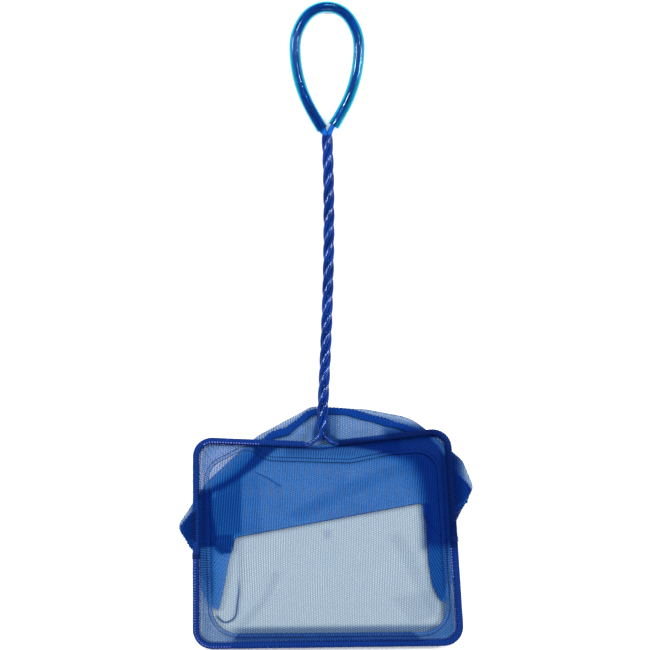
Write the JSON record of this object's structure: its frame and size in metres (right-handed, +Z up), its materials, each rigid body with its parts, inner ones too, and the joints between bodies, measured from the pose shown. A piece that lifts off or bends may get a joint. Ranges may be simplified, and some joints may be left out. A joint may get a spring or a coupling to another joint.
{
  "type": "aquarium net",
  "caption": "Small hand net with a wire mouth frame, a fine knitted bag, a rope-laid coated wire handle and a hanging loop sleeved in clear tube.",
  "frame": {"origin": "middle of the net's footprint, on the table it lies on", "axes": "+X to the right across the mouth, +Y along the handle to the hanging loop, +Z up, out of the net's mouth"},
  "size_m": [0.167, 0.3684, 0.0086],
  "materials": {
    "steel_wire": "drawn",
    "wire_coating": "glossy vinyl",
    "clear_tube": "clear vinyl",
    "netting": "fine knit",
    "hem_netting": "doubled knit",
    "seam_thread": "overlocked thread"
  },
  "bodies": {
    "root": {"frame_wire_core": "steel_wire", "frame_wire_coating": "wire_coating", "strand_front_core": "steel_wire", "strand_front_coating": "wire_coating", "strand_left_core": "steel_wire", "strand_left_coating": "wire_coating", "strand_back_core": "steel_wire", "strand_back_coating": "wire_coating", "strand_right_core": "steel_wire", "strand_right_coating": "wire_coating", "loop_wire_upper_core": "steel_wire", "loop_wire_upper_coating": "wire_coating", "loop_wire_lower_core": "steel_wire", "loop_wire_lower_coating": "wire_coating", "grip_tube": "clear_tube", "hem_upper_left": "hem_netting", "hem_lower": "hem_netting", "hem_upper_right": "hem_netting", "collar_band": "netting", "lower_panel": "netting", "upper_panel": "netting", "side_pleat_left": "netting", "side_pleat_right": "netting", "bag_edge_seam": "seam_thread", "hem_stitching": "seam_thread", "collar_stitching": "seam_thread", "side_tacks": "seam_thread"}
  },
  "joints": []
}
